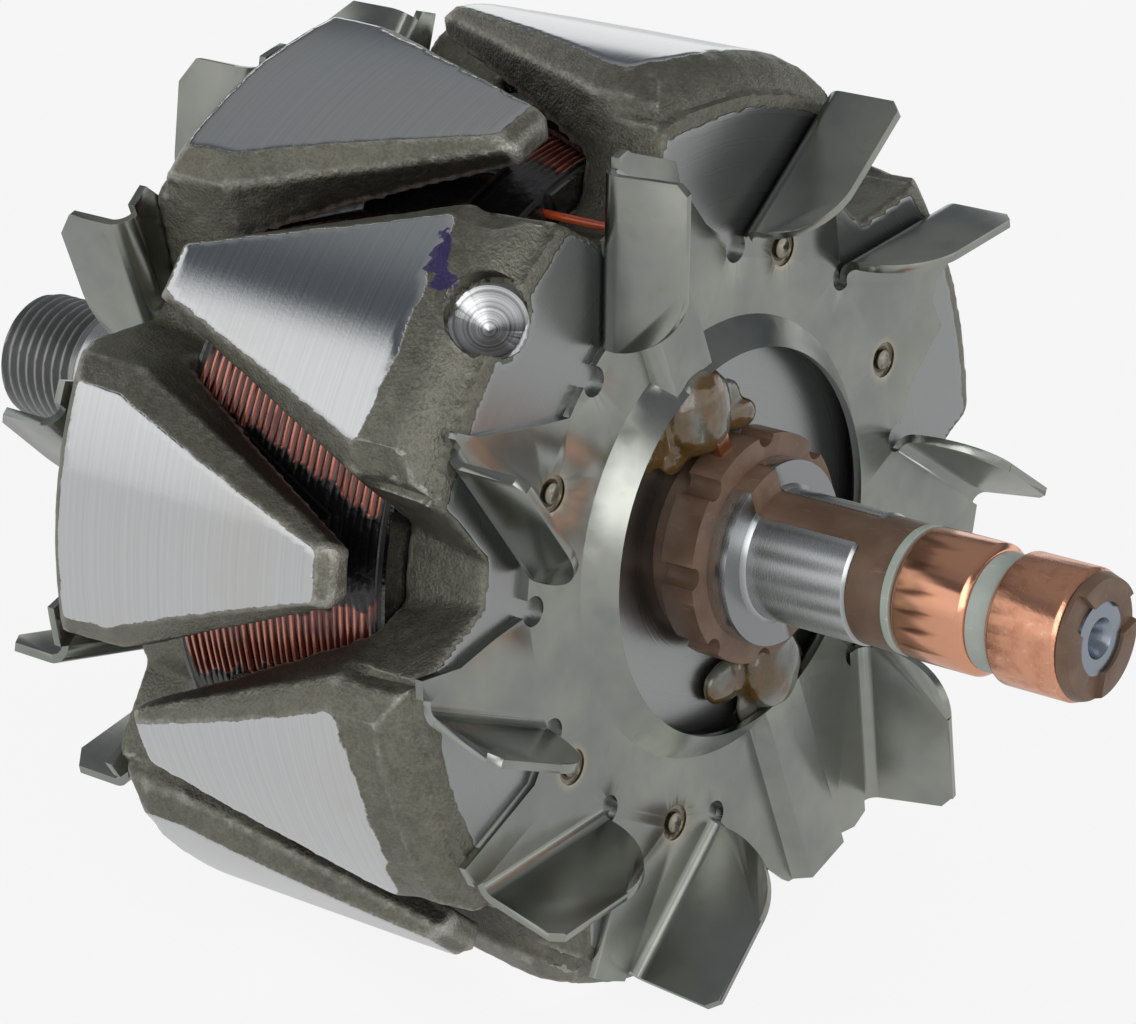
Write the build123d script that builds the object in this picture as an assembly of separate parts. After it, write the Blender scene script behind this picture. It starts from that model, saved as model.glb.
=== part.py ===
from build123d import *
import math
import os

os.makedirs("parts", exist_ok=True)

# Claw-pole rotor of a vehicle generator, in millimetres.
# The shaft lies along X with the slip rings towards +X.
# Places along the shaft are counted from the middle of the claws, and an angle is counted about
# the shaft from +Z towards +Y. The finished nodes are then turned to the angle in which the rotor
# comes to rest on its claws, and moved so that the origin is the middle of the overall length.

# Angle that the rotor rolls before it lies still, a little to one side of its lowest claw
rest_turn = 6.8

# Claw poles
claw_count = 6
outer_radius = 54.0
claw_reach = 16.4            # from the middle plane to a claw's tip
pole_face = 27.1             # from the middle plane to the turned end face
pole_plate = 11.1            # thickness of the disc that carries the claws
shoulder_drop = 8.5          # from the turned outside down to the end face's rim
shoulder_start = 22.6        # where the turned outside ends and the shoulder begins
valley_depth = 13.4          # from the turned outside down to the disc's rim between two claws
drive_claw_angle = 45.0
slip_claw_angle = 15.0
tip_half_width = 2.35
knee_half_width = 12.9
root_half_width = 13.3
tip_bevel = 0.9
root_bevel = 2.8
tip_bevel_depth = 1.5
root_bevel_depth = 2.8
tip_inner_half_width = 2.0
knee_inner_half_width = 16.4
valley_gap = 2.1             # from a claw's root to the middle of the valley beside it
tip_thickness = 4.0
root_thickness = 8.7
tip_chamfer_run = 1.8
tip_chamfer_drop = 1.6
root_fillet_run = 4.0        # how far the thick root carries on below the claw

# Balance hole drilled into one slip-ring-end claw
balance_hole_radius = 4.1
balance_hole_depth = 2.0
balance_hole_x = 25.0
balance_hole_below = 4.0     # from the turned outside down to the hole's foot
balance_drill_length = 12.0
balance_hole_angle = -40.4
balance_hole_tilt = 31.0
drill_point_angle = 118.0

# Yoke, bobbin and winding
core_radius = 26.0
fit_clearance = 0.3
press_clearance = 0.02
stack_clearance = 0.05
star_thickness = 0.5
star_below_winding = 0.4
bobbin_wall = 1.1
flange_thickness = 0.6
winding_below_claws = 1.3    # room for the insulation between the winding and the claws' roots
winding_turns = 28
turn_height = 0.45
petal_clearance = 0.12
petal_reach = 8.0
petal_root_half_width = 14.5
petal_tip_half_width = 4.0

# Shaft
body_radius = 10.0
thread_radius = 8.0
thread_end_x = -81.2
thread_length = 14.0
thread_chamfer = 1.0
drive_journal_radius = 8.5
drive_shoulder_x = -47.0
collar_step = 0.6
collar_start_x = 33.8
collar_width = 2.5
slip_journal_radius = 7.5
slip_journal_end_x = 50.0
journal_chamfer = 0.5
spigot_radius = 4.1
slip_end_x = 77.8
center_drill_radius = 2.3
center_drill_depth = 5.0
slot_width = 4.8
slot_floor_radius = 4.6
slot_start_x = 29.6

# Slip rings and their moulding
lead_angles = (-15.0, 165.0)
ring_radius = 7.4
ring_inner_radius = 6.0
inner_ring_x = 55.6
inner_ring_width = 9.45
middle_ring_width = 2.65
middle_ring_radius = 6.6
outer_ring_width = 9.2
ring_edge = 0.7
pale_ring_width = 1.0
cap_radius = 7.1
cap_thickness = 1.3
cap_notch_depth = 0.8
cap_notch_width = 3.4
moulding_radius = 7.25
hub_radius = 13.2
hub_thickness = 4.3
hub_boss_radius = 11.6
hub_notch_count = 8
hub_notch_radius = 1.3
hub_notch_phase = 7.0
rib_below_collar = 0.2

# Conductor bars inside the moulding
bar_width = 2.0
bar_thickness = 1.0
bar_floor_radius = 4.9
bar_leg_x = 31.0
bar_leg_end_radius = 16.0

# Fans
sheet = 1.0
bend_radius = 1.6
fan_inset = 2.6              # from the claws' turned outside down to the fans' rim
fan_disc_radius = 34.4
fan_hole_radius = 22.3
fan_lip_height = 2.8
fan_lip_run = 3.2
notch_circle_radius = 33.4
notch_radius = 1.7
fold_inner_radius = 35.2
lobe_overrun = 2.8           # how far a lobe is drawn past the rim before it is trimmed
blade_height = 9.9
blade_corner = 8.5
blade_corner_rise = 3.0
slip_rim_corner = (1.2, 1.2)
drive_rim_corner = (3.0, 2.5)
channel_base_width = 10.0
channel_top_width = 6.6
channel_rise = 2.2
channel_start_radius = 21.0
channel_end_insets = (7.4, 2.9)
weld_circle_radius = 33.0
weld_outer_radius = 2.1
weld_inner_radius = 1.2
weld_depth = 0.35
slip_weld_angles = (24.9, 72.9, 128.0, 202.0, 241.6, 300.8)

# Slip-ring-end fan, for each blade: the angle of the notch at its foot, the angles where its fold
# starts and ends, how far it leans away from its lobe, and that lobe's trailing edge as angle and
# radius from the rim inwards
slip_fan_lobes = (
    (9.5, (12.0, 28.1), 0, ((34.0, 60.0), (36.5, 40.2))),
    (47.1, (46.0, 61.3), 0, ((69.5, 48.5), (70.0, 45.5), (72.5, 43.8), (77.5, 44.4), (82.8, 37.0))),
    (91.6, (91.5, 104.9), 7, ((127.0, 60.0), (130.5, 46.0), (132.2, 39.0))),
    (137.0, (133.5, 150.0), 15, ((160.0, 49.4), (162.5, 51.0), (171.1, 48.6), (178.2, 41.7))),
    (189.1, (187.8, 203.7), 15, ((213.0, 60.0), (214.0, 42.0))),
    (225.1, (224.5, 241.0), 15, ((248.0, 60.0), (247.0, 38.4))),
    (252.0, (253.8, 269.5), 13, ((276.0, 60.0), (274.5, 45.3), (276.5, 39.5))),
    (278.5, (285.2, 300.8), 0, ((305.3, 47.8), (309.5, 40.1), (315.4, 33.7))),
    (323.0, (328.0, 342.0), -12, ((347.5, 50.8), (355.5, 46.3), (355.8, 43.5), (361.1, 37.4))),
)

# Drive-end fan: the notch angles of its more closely spaced blades
drive_fan_notches = (1.5, 26.0, 55.0, 82.5, 112.0, 139.5, 168.0, 194.5, 221.0, 244.0, 276.0, 302.5, 331.0)
drive_fold_lead = 2.4
drive_fold_span = 14.2
drive_lobe_gap = 7.0

# Winding leads
wire_radius = 0.5
lead_above_valley = 0.6
lead_notch_width = 2.0
lead_channel_x = 28.15
lead_bend = 1.6
lead_inner_radius = 16.9

# Resin over the joints between leads and bars
resin_centre_radius = 18.3
resin_base_x = 29.4
resin_length = 5.6
resin_width = 4.9
resin_height = 3.6


# Places that follow from the sizes above
pole_face_radius = outer_radius - shoulder_drop
valley_radius = outer_radius - valley_depth
root_inner_half_width = valley_radius * math.sin(math.pi / claw_count) - valley_gap
balance_hole_r = outer_radius - balance_hole_below
winding_radius = outer_radius - root_thickness - winding_below_claws
star_radius = winding_radius - star_below_winding
fan_rim_radius = outer_radius - fan_inset
lead_run_radius = valley_radius + wire_radius + lead_above_valley
collar_radius = body_radius + collar_step
rib_collar_radius = collar_radius - rib_below_collar
inside_face = pole_face - pole_plate
flange_out = inside_face - star_thickness - stack_clearance
flange_in = flange_out - flange_thickness
coil_half = flange_in - stack_clearance
bobbin_bore = core_radius + fit_clearance
bobbin_tube = bobbin_bore + bobbin_wall


def spot(x, radius, angle):
    """A point given by its place along the shaft, its radius and its angle."""
    turn = math.radians(angle)
    return Vector(x, radius * math.sin(turn), radius * math.cos(turn))


def swung(shape, angle):
    """Swing a shape that was drawn at the top round the shaft to its angle."""
    return Rot(-angle, 0, 0) * shape


def outline(plane, points):
    """A face from straight sides, drawn in the given plane."""
    return plane * make_face(Polyline(*points, close=True))


def turned(points):
    """A lathe part from a closed outline of (x, radius) points."""
    return revolve(outline(Plane.XZ, points), axis=Axis.X)


def ring(start, end, inner, outer):
    return turned([(start, inner), (end, inner), (end, outer), (start, outer)])


def plug(start, end, radius):
    return turned([(start, 0), (end, 0), (end, radius), (start, radius)])


def radial_box(x_from, x_to, r_from, r_to, width):
    """A block standing on the shaft at the top."""
    size = (x_to - x_from, width, r_to - r_from)
    middle = ((x_from + x_to) / 2, 0, (r_from + r_to) / 2)
    return Pos(*middle) * Box(*size)


def claw_section(x, half, bevel, depth, inner_half, floor):
    """Cross-section of a claw: a bevel runs from the turned outside out to a ridge, then undercuts."""
    crown = math.sqrt(outer_radius**2 - half**2)
    above = outer_radius + 3
    top_half = half - bevel / depth * (above - crown)
    side = [(top_half, above), (half + bevel, crown - depth), (inner_half, floor)]
    other = [(-y, z) for y, z in reversed(side)]
    return outline(Plane.YZ.offset(x), side + other)


def claw():
    """One forged claw at the top, pointing away from the end face."""
    foot = valley_radius - root_fillet_run
    tip = claw_section(
        -claw_reach, tip_half_width, tip_bevel, tip_bevel_depth,
        tip_inner_half_width, outer_radius - tip_thickness - 2,
    )
    knee = claw_section(
        inside_face, knee_half_width, root_bevel, root_bevel_depth,
        knee_inner_half_width, foot,
    )
    root = claw_section(
        pole_face, root_half_width, root_bevel, root_bevel_depth,
        root_inner_half_width, foot,
    )
    wedge = loft([tip, knee, root], ruled=True)
    back = inside_face
    shoulder = ThreePointArc(
        (shoulder_start, outer_radius),
        ((shoulder_start + pole_face) / 2 + 0.9, (outer_radius + pole_face_radius) / 2 + 1.6),
        (pole_face, pole_face_radius),
    )
    rest = Polyline(
        (pole_face, pole_face_radius),
        (pole_face, foot),
        (back, foot),
        (back, outer_radius - root_thickness),
        (-claw_reach, outer_radius - tip_thickness),
        (-claw_reach, outer_radius - tip_chamfer_drop),
        (-claw_reach + tip_chamfer_run, outer_radius),
        (shoulder_start, outer_radius),
    )
    lengthwise = revolve(Plane.XZ * make_face([shoulder, *rest.edges()]), axis=Axis.X)
    return wedge & lengthwise


def pole_half():
    """A pole with its claws towards -X, the first claw at the top."""
    disc = ring(inside_face, pole_face, body_radius + press_clearance, valley_radius)
    blank = claw()
    claws = [swung(blank, 360 / claw_count * n) for n in range(claw_count)]
    return disc.fuse(*claws).clean()


def balance_drill():
    """The drill for the balance hole, standing with its point at the foot of the hole."""
    point_height = balance_hole_radius / math.tan(math.radians(drill_point_angle / 2))
    drill_middle = balance_drill_length / 2 - balance_hole_depth
    drill = Pos(0, 0, drill_middle) * Cylinder(balance_hole_radius, balance_drill_length)
    point = Pos(0, 0, -balance_hole_depth - point_height / 2) * Cone(
        0.05, balance_hole_radius, point_height)
    upright = Rot(0, balance_hole_tilt, 0) * (drill + point)
    return swung(Pos(balance_hole_x, 0, balance_hole_r) * upright, balance_hole_angle)


def insulating_star(claw_angle):
    """Pressed insulation against a pole's disc, with a tongue folded under each claw."""
    inside = inside_face
    disc = ring(inside - star_thickness, inside, bobbin_bore, star_radius)
    low = winding_radius + petal_clearance
    shell = ring(-petal_reach, inside, low, low + star_thickness)
    rim = ring(inside - star_thickness, inside, star_radius - 0.5, low + star_thickness)
    plan = Plane.XY * make_face(Polyline(
        (inside, petal_root_half_width), (-petal_reach, petal_tip_half_width),
        (-petal_reach, -petal_tip_half_width), (inside, -petal_root_half_width), close=True))
    cutter = extrude(plan, amount=outer_radius)
    tongue = (shell + rim) & cutter
    pitch = 360 / claw_count
    tongues = [swung(tongue, claw_angle + pitch * n) for n in range(claw_count)]
    return disc.fuse(*tongues).clean()


def lead_notches(solid):
    """Cut the way for both winding leads through a flange or star on the slip-ring side."""
    way = radial_box(0, pole_face, lead_run_radius - wire_radius - 0.3, outer_radius, lead_notch_width)
    beyond = ring(flange_in - 0.02, pole_face, 0, outer_radius)
    for angle in lead_angles:
        solid = solid - (swung(way, angle) & beyond)
    return solid


def shaft():
    collar_end = collar_start_x + collar_width
    thread_end = thread_end_x + thread_length
    step = drive_journal_radius - thread_radius
    blank = turned([
        (thread_end_x, 0),
        (thread_end_x, thread_radius - thread_chamfer),
        (thread_end_x + thread_chamfer, thread_radius),
        (thread_end, thread_radius),
        (thread_end + step, drive_journal_radius),
        (drive_shoulder_x, drive_journal_radius),
        (drive_shoulder_x, body_radius),
        (collar_start_x, body_radius),
        (collar_start_x, collar_radius),
        (collar_end, collar_radius),
        (collar_end, slip_journal_radius + journal_chamfer),
        (collar_end + journal_chamfer, slip_journal_radius),
        (slip_journal_end_x - journal_chamfer, slip_journal_radius),
        (slip_journal_end_x, slip_journal_radius - journal_chamfer),
        (slip_journal_end_x, spigot_radius),
        (slip_end_x, spigot_radius),
        (slip_end_x, center_drill_radius),
        (slip_end_x - center_drill_depth, 0.4),
        (slip_end_x - center_drill_depth, 0),
    ])
    bore = turned([
        (thread_end_x, 0), (thread_end_x, center_drill_radius),
        (thread_end_x + center_drill_depth, 0.4), (thread_end_x + center_drill_depth, 0),
    ])
    blank = blank - bore
    slot = radial_box(slot_start_x, slip_journal_end_x, slot_floor_radius, collar_radius + 1, slot_width)
    for angle in lead_angles:
        blank = blank - swung(slot, angle)
    return blank


def slip_positions():
    """Where each ring on the slip-ring end starts, in order."""
    middle = inner_ring_x + inner_ring_width
    outer = middle + middle_ring_width
    cap = outer + outer_ring_width
    return middle, outer, cap


def slip_ring(start, width):
    end = start + width
    return turned([
        (start, ring_inner_radius), (end, ring_inner_radius),
        (end, ring_radius - ring_edge), (end - ring_edge, ring_radius),
        (start + ring_edge, ring_radius), (start, ring_radius - ring_edge),
    ])


def conductor_bar(angle, ring_start):
    """A flat copper bar from under its ring, along the shaft and out to the lead."""
    ring_end = ring_start + inner_ring_width - 2
    run = radial_box(
        bar_leg_x, ring_end, bar_floor_radius, bar_floor_radius + bar_thickness, bar_width)
    leg = radial_box(
        bar_leg_x, bar_leg_x + bar_thickness, bar_floor_radius, bar_leg_end_radius, bar_width)
    return swung(run + leg, angle)


def moulding(shaft_solid, bars):
    """Brown moulding: hub disc, two ribs in the shaft's slots, the sleeve under the rings and the cap."""
    middle, outer, cap = slip_positions()
    hub_front = collar_start_x
    hub_back = hub_front - hub_thickness
    disc = ring(hub_back, hub_front, body_radius + press_clearance, hub_radius)
    boss = ring(pole_face, hub_back, body_radius + press_clearance, hub_boss_radius)
    notch = Pos((hub_back + hub_front) / 2, 0, hub_radius) * Rot(0, 90, 0) * Cylinder(
        hub_notch_radius, hub_thickness + 2)
    for n in range(hub_notch_count):
        disc = disc - swung(notch, hub_notch_phase + 360 / hub_notch_count * n)
    collar_end = collar_start_x + collar_width
    sleeve = turned([
        (slip_journal_end_x, spigot_radius + press_clearance),
        (slip_journal_end_x, moulding_radius),
        (inner_ring_x - pale_ring_width, moulding_radius),
        (inner_ring_x - pale_ring_width, ring_inner_radius - press_clearance),
        (cap, ring_inner_radius - press_clearance),
        (cap, cap_radius),
        (cap + cap_thickness, cap_radius - 0.4),
        (cap + cap_thickness, spigot_radius + press_clearance),
    ])
    body = disc.fuse(boss, sleeve)
    fill = radial_box(
        slot_start_x, slip_journal_end_x + 1, slot_floor_radius + press_clearance,
        collar_radius + 1, slot_width - 2 * press_clearance)
    skin = turned([
        (slot_start_x, 0), (slip_journal_end_x + 1, 0),
        (slip_journal_end_x + 1, moulding_radius), (collar_end, slip_journal_radius - 0.05),
        (collar_end, rib_collar_radius), (slot_start_x, rib_collar_radius),
    ])
    rib = fill & skin
    for angle in lead_angles:
        body = body + swung(rib, angle)
    body = body - shaft_solid
    notch_end = cap + cap_thickness
    cap_notch = radial_box(notch_end - cap_notch_depth, notch_end + 1, 0, cap_radius + 1, cap_notch_width)
    for n in range(3):
        body = body - swung(cap_notch, 80 + 120 * n)
    for bar in bars:
        body = body - bar
    return body


def fold_line(fold):
    """Inner and outer end of a blade's fold, and the direction across it towards its lobe."""
    inner = spot(0, fold_inner_radius, fold[0])
    outer = spot(0, fan_rim_radius, fold[1])
    along = (outer - inner).normalized()
    across = Vector(0, along.Z, -along.Y)
    return inner, outer, across


def lobe(fold, trailing, next_notch):
    """One lobe of the fan's plate, from its blade's fold to its trailing edge."""
    inner, outer, across = fold_line(fold)
    shift = across * (bend_radius + sheet)
    start = inner + shift
    end = outer + shift
    far = end + (end - start).normalized() * lobe_overrun
    points = [(0, 0), (start.Y, start.Z), (far.Y, far.Z)]
    for angle, radius in trailing:
        place = spot(0, radius, angle)
        points.append((place.Y, place.Z))
    foot = spot(0, notch_circle_radius, next_notch)
    points.append((foot.Y, foot.Z))
    return extrude(outline(Plane.YZ.offset(pole_face), points), amount=sheet)


def blade(fold, lean, rim_corner):
    """A blade bent up from its lobe along the fold, its inner corner round and its rim corner cut off."""
    inner, outer, across = fold_line(fold)
    along = (outer - inner).normalized()
    length = (outer - inner).length
    outside = bend_radius + sheet
    top = sheet + blade_height
    bend = math.radians(90 - lean)
    straight = (top - outside + outside * math.cos(bend)) / math.sin(bend)

    def on_bend(radius, turn):
        return (outside - radius * math.sin(turn), outside - radius * math.cos(turn))

    def at_edge(radius):
        foot_x, foot_y = on_bend(radius, bend)
        return (foot_x - straight * math.cos(bend), foot_y + straight * math.sin(bend))

    edges = [
        Line((outside + 1, 0), (outside, 0)),
        ThreePointArc((outside, 0), on_bend(outside, bend / 2), on_bend(outside, bend)),
        Line(on_bend(outside, bend), at_edge(outside)),
        Line(at_edge(outside), at_edge(bend_radius)),
        Line(at_edge(bend_radius), on_bend(bend_radius, bend)),
        ThreePointArc(
            on_bend(bend_radius, bend), on_bend(bend_radius, bend / 2), (outside, sheet)),
        Line((outside, sheet), (outside + 1, sheet)),
        Line((outside + 1, sheet), (outside + 1, 0)),
    ]
    lift = Vector(pole_face, 0, 0)
    profile = Plane(origin=outer + lift, x_dir=across, z_dir=-along)
    strip = extrude(profile * make_face(edges), amount=length)
    half = math.sqrt(0.5)
    arc_middle = (
        blade_corner * (1 - half), blade_corner_rise + (top - blade_corner_rise) * half)
    round_corner = [
        Line((-1, blade_corner_rise), (-1, top + 1)),
        Line((-1, top + 1), (blade_corner, top + 1)),
        Line((blade_corner, top + 1), (blade_corner, top)),
        ThreePointArc((blade_corner, top), arc_middle, (0, blade_corner_rise)),
        Line((0, blade_corner_rise), (-1, blade_corner_rise)),
    ]
    cut_run, cut_drop = rim_corner
    cut_corner = Polyline(
        (length - cut_run, top), (length - cut_run, top + 1), (length + 1, top + 1),
        (length + 1, top - cut_drop), (length, top - cut_drop), close=True)
    side = Plane(origin=inner + lift - across * top, x_dir=along, z_dir=across)
    for corner in (round_corner, cut_corner):
        strip = strip - extrude(side * make_face(corner), amount=2 * top)
    return strip


def fan_sheet(lobes, rim_corner):
    """Pressed fan on the end face towards +X, from its blades and lobes."""
    front = pole_face + sheet
    plate = plug(pole_face, front, fan_disc_radius)
    lobe_solids = []
    blades = []
    for index, (_, fold, lean, trailing) in enumerate(lobes):
        next_notch = lobes[(index + 1) % len(lobes)][0]
        lobe_solids.append(lobe(fold, trailing, next_notch))
        blades.append(blade(fold, lean, rim_corner))
    plate = plate.fuse(*lobe_solids) & plug(pole_face, front, fan_rim_radius)
    lip_foot = fan_hole_radius + fan_lip_run
    plate = plate - plug(pole_face - 1, front + 1, lip_foot)
    notch = Pos(0, 0, notch_circle_radius) * plug(pole_face - 1, front + 1, notch_radius)
    for notch_angle, _, _, _ in lobes:
        plate = plate - swung(notch, notch_angle)
    lip = turned([
        (pole_face, lip_foot), (pole_face + fan_lip_height, fan_hole_radius),
        (pole_face + fan_lip_height + sheet, fan_hole_radius), (pole_face + sheet, lip_foot),
    ])
    return plate.fuse(lip, *blades)


def channel(end_radius):
    """Raised channel over a lead: its outer and inner shape, at the top."""
    def trapezoid(base, top, low, high, reach):
        points = [(-base / 2, low), (base / 2, low), (top / 2, high), (-top / 2, high)]
        plane = Plane(origin=(pole_face, 0, channel_start_radius), x_dir=(0, -1, 0), z_dir=(0, 0, 1))
        return extrude(outline(plane, points), amount=reach)
    reach = end_radius - channel_start_radius
    roof = channel_rise + sheet
    outer = trapezoid(channel_base_width, channel_top_width, 0, roof, reach)
    inner = trapezoid(
        channel_base_width - 2 * sheet, channel_top_width - 2 * sheet, -1, channel_rise, reach - sheet)
    return outer, inner


def weld_rings(fan, angles):
    groove = ring(
        pole_face + sheet - weld_depth, pole_face + sheet + 1, weld_inner_radius, weld_outer_radius)
    for angle in angles:
        groove_at = Pos(0, 0, weld_circle_radius) * groove
        fan = fan - swung(groove_at, angle)
    return fan


def drive_lobes():
    """The drive-end fan's lobes all end a fixed angle before the next notch."""
    lobes = []
    count = len(drive_fan_notches)
    for index, notch_angle in enumerate(drive_fan_notches):
        next_notch = drive_fan_notches[(index + 1) % count]
        if next_notch < notch_angle:
            next_notch += 360
        fold_start = notch_angle + drive_fold_lead
        fold_end = fold_start + drive_fold_span
        rim_end = max(fold_end + 6, next_notch - drive_lobe_gap)
        trailing = ((rim_end, fan_rim_radius + 1), (next_notch - 1.5, 38.0))
        lobes.append((notch_angle, (fold_start, fold_end), 0, trailing))
    return lobes


def lead(angle):
    """Winding lead: along the valley between two claws, then inwards under the fan's channel."""
    end_x = bar_leg_x - wire_radius - 0.1
    path = FilletPolyline(
        (coil_half, 0, lead_run_radius),
        (lead_channel_x, 0, lead_run_radius),
        (lead_channel_x, 0, lead_inner_radius + 4.5),
        (end_x, 0, lead_inner_radius),
        (end_x, 0, bar_leg_end_radius - 2),
        radius=[lead_bend, lead_bend, lead_bend / 2],
    )
    start = Plane(origin=(coil_half, 0, lead_run_radius), z_dir=(1, 0, 0))
    return swung(sweep(start * Circle(wire_radius), path=path), angle)


def resin_blob(angle, around):
    """A drop of resin over the joint, shaped round everything that it covers."""
    drop = Pos(resin_base_x, 0, resin_centre_radius) * scale(
        Sphere(1), by=(resin_height, resin_width, resin_length))
    above = radial_box(resin_base_x, resin_base_x + 2 * resin_height, 0, outer_radius, outer_radius)
    blob = swung(drop & above, angle)
    for solid in around:
        blob = blob - solid
    pieces = blob.solids()
    return max(pieces, key=lambda piece: piece.volume)


shaft_solid = shaft()
middle_x, outer_x, cap_x = slip_positions()
pole = pole_half()
slip_pole = swung(pole, slip_claw_angle) - balance_drill()
drive_pole = swung(pole.mirror(Plane.YZ), drive_claw_angle)

core = ring(-inside_face, inside_face, body_radius + press_clearance, core_radius)
slip_star = lead_notches(insulating_star(slip_claw_angle))
drive_star = insulating_star(drive_claw_angle).mirror(Plane.YZ)

bobbin = turned([
    (-flange_out, bobbin_bore), (flange_out, bobbin_bore),
    (flange_out, star_radius), (flange_in, star_radius), (flange_in, bobbin_tube),
    (-flange_in, bobbin_tube), (-flange_in, star_radius), (-flange_out, star_radius),
])
bobbin = lead_notches(bobbin)

turn_pitch = 2 * coil_half / winding_turns
coil_bore = bobbin_tube + stack_clearance
coil_outline = [(coil_half, coil_bore), (-coil_half, coil_bore)]
for n in range(winding_turns):
    coil_outline.append((-coil_half + turn_pitch * n, winding_radius - turn_height))
    coil_outline.append((-coil_half + turn_pitch * (n + 0.5), winding_radius))
coil_outline.append((coil_half, winding_radius - turn_height))
winding = turned(coil_outline)

bars = [conductor_bar(lead_angles[0], outer_x), conductor_bar(lead_angles[1], inner_ring_x)]
carrier = moulding(shaft_solid, bars)
inner_ring = slip_ring(inner_ring_x, inner_ring_width)
outer_ring = slip_ring(outer_x, outer_ring_width)
middle_ring = ring(middle_x, outer_x, ring_inner_radius, middle_ring_radius)
pale_ring = ring(inner_ring_x - pale_ring_width, inner_ring_x, ring_inner_radius, ring_radius - 0.1)

slip_fan = fan_sheet(slip_fan_lobes, slip_rim_corner)
for lead_angle, end_inset in zip(lead_angles, channel_end_insets):
    channel_outer, channel_inner = channel(fan_rim_radius - end_inset)
    hollow = swung(channel_outer - channel_inner, lead_angle)
    slip_fan = slip_fan - swung(channel_outer + channel_inner, lead_angle)
    slip_fan = slip_fan + (hollow - plug(pole_face, inner_ring_x, fan_hole_radius))
slip_fan = weld_rings(slip_fan, slip_weld_angles)
drive_fan = fan_sheet(drive_lobes(), drive_rim_corner).mirror(Plane.YZ)

leads = [lead(angle) for angle in lead_angles]
resins = []
for index, angle in enumerate(lead_angles):
    covered = [leads[index], bars[index], carrier, slip_fan]
    resins.append(resin_blob(angle, covered))

nodes = {
    "shaft": shaft_solid,
    "pole_core": core,
    "drive_end_claw_pole": drive_pole,
    "slip_ring_end_claw_pole": slip_pole,
    "winding_bobbin": bobbin,
    "field_winding": winding,
    "drive_end_insulating_star": drive_star,
    "slip_ring_end_insulating_star": slip_star,
    "drive_end_fan": drive_fan,
    "slip_ring_end_fan": slip_fan,
    "slip_ring_moulding": carrier,
    "inner_slip_ring": inner_ring,
    "outer_slip_ring": outer_ring,
    "middle_insulating_ring": middle_ring,
    "inner_insulating_ring": pale_ring,
    "conductor_bar_outer": bars[0],
    "conductor_bar_inner": bars[1],
    "winding_lead_upper": leads[0],
    "winding_lead_lower": leads[1],
    "lead_resin_upper": resins[0],
    "lead_resin_lower": resins[1],
}

length_middle = (thread_end_x + cap_x + cap_thickness) / 2
for name, shape in nodes.items():
    shape = Pos(-length_middle, 0, 0) * swung(shape, -rest_turn)
    export_step(shape, f"parts/{name}.step")
    print(name, len(shape.solids()), round(shape.volume, 1))
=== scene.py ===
# %% [markdown]
# # The looks of a claw-pole generator rotor
# The solids of the rotor come packed as a fixed frame, and this lesson dresses them. We load the
# frame, keep its box, and note that one Blender unit is one metre, so sizes are written in
# millimetres and multiplied by `mm`.

# %% Load the frame
import math

import bmesh
import bpy
import numpy as np
from mathutils import Matrix, Vector, noise


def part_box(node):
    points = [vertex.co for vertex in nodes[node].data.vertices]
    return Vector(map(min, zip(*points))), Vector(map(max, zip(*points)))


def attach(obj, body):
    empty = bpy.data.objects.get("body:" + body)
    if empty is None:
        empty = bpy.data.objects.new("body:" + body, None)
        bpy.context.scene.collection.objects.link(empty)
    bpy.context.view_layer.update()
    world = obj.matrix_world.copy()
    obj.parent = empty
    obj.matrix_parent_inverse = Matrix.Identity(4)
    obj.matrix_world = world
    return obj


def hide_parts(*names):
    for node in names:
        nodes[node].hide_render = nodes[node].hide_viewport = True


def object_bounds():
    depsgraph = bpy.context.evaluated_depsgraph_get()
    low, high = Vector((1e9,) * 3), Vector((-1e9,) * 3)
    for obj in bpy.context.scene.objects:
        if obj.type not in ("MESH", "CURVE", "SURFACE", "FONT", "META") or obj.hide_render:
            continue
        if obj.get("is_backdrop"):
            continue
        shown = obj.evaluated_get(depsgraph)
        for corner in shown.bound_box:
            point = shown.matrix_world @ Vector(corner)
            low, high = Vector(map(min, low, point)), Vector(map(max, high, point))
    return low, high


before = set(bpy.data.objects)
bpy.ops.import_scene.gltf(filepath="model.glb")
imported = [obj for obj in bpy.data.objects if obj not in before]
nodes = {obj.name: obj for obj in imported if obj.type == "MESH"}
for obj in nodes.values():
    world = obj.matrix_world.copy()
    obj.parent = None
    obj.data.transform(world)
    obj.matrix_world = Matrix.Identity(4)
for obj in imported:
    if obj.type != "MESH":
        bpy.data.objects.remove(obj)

mm = 0.001
cad_box = [list(corner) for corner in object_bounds()]
print(len(nodes), "nodes, box in mm:", [[round(v / mm, 1) for v in corner] for corner in cad_box])

# %% [markdown]
# ## Where things are
# A rotor is easiest to describe in shaft terms: a place along the shaft (x), a radius and an
# angle. Here the angle is counted from straight up (+Z) towards +Y. One helper turns these three
# numbers into a point, and another gives the radius and angle of many points at once. The sizes
# that several pieces share stand here too, in millimetres and degrees.

# %% Shaft coordinates
outer_radius = 54.0                 # the claws' turned outside
claw_pitch = 60.0                   # between two claws of one pole
slip_claw, drive_claw = 8.2, 38.2   # angle of each pole's first claw
claws_middle, claw_reach = 1.5, 16.4  # along the shaft, and from there to a claw's tip
slip_face, drive_face = 28.6, 25.6  # from the origin to each pole's turned end face
lead_angle = -21.8                  # the upper lead, and the lower one lies opposite
rest_turn = 6.8                     # how far the rotor has rolled to lie still


def spot(x, radius, angle):
    turn = math.radians(angle)
    return Vector((x, radius * math.sin(turn), radius * math.cos(turn))) * mm


def polar(points):
    radius = np.hypot(points[:, 1], points[:, 2])
    angle = np.degrees(np.arctan2(points[:, 1], points[:, 2]))
    return radius, angle


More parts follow.
